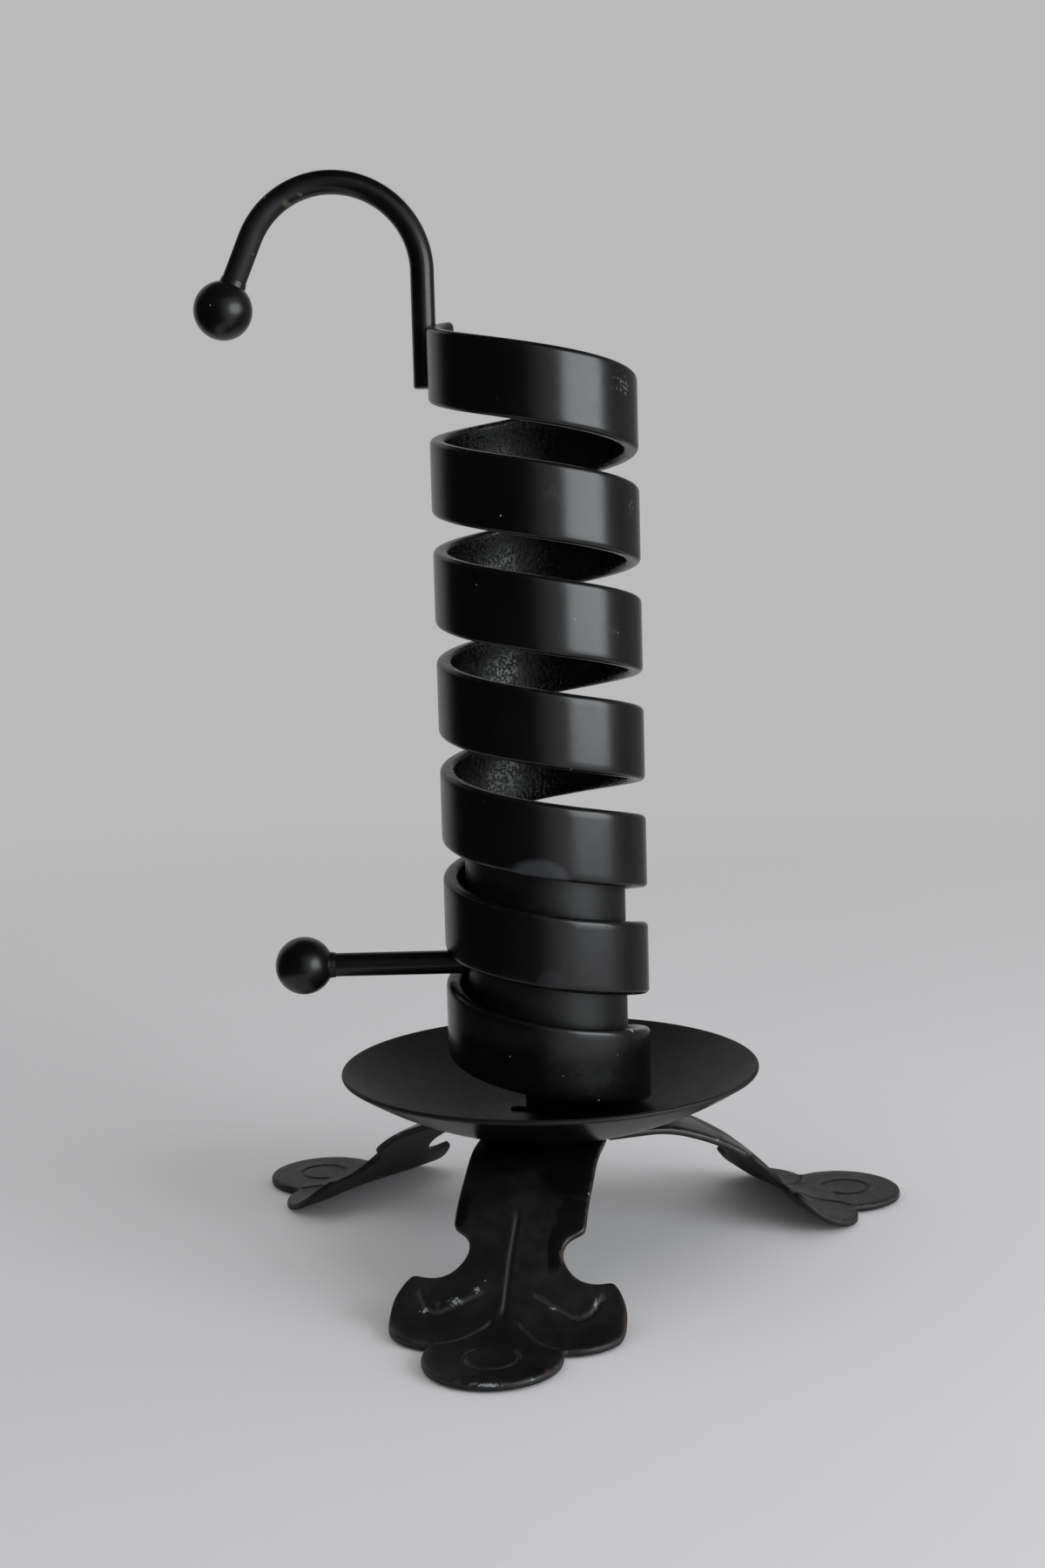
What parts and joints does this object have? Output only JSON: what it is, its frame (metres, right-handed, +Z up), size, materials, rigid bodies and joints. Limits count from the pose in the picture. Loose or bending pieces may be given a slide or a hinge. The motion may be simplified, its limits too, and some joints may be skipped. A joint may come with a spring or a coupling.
{
  "type": "spiral candle holder",
  "caption": "Wrought-iron style candle holder: a wound strip on a dished drip pan with three trefoil feet, a lever that screws the candle cup up inside it, and a carrying hook.",
  "frame": {"origin": "middle of the footprint's bounding box, on the plane the three feet stand on", "axes": "+Z up along the spiral's axis; +Y away from the viewer of the front leg; +X to that viewer's right, so the lever and the hook point to -X"},
  "size_m": [0.119, 0.1118, 0.1815],
  "materials": {
    "strip_paint": "satin",
    "weld_paint": "rough satin",
    "pan_paint": "satin",
    "leg_paint": "matt, worn",
    "cup_paint": "matt",
    "rod_paint": "satin"
  },
  "bodies": {
    "stand": {"spiral": "strip_paint", "tail_weld_front": "weld_paint", "tail_weld_back": "weld_paint", "drip_pan": "pan_paint", "leg_front": "leg_paint", "leg_right": "leg_paint", "leg_left": "leg_paint", "hook_rod": "rod_paint", "hook_ball": "rod_paint", "hook_weld_front": "weld_paint", "hook_weld_back": "weld_paint"},
    "seat": {"cup_floor": "cup_paint"},
    "lifter": {"cup_tube": "cup_paint", "lever_rod": "rod_paint", "lever_ball": "rod_paint"}
  },
  "joints": [
    {"name": "seat_slide", "type": "slide", "parent": "stand", "child": "seat", "axis": [0, 0, 1], "range_m": [-0.00102, 0.09101]},
    {"name": "lever_turn", "type": "hinge", "parent": "seat", "child": "lifter", "pos_m": [-0.00338, 0.00964, 0.04862], "axis": [0, 0, -1], "range_deg": [-20, 1800]}
  ],
  "couplings": [
    {"joint": "seat_slide", "follows": "lever_turn", "m_per_rad": 0.0028966}
  ]
}
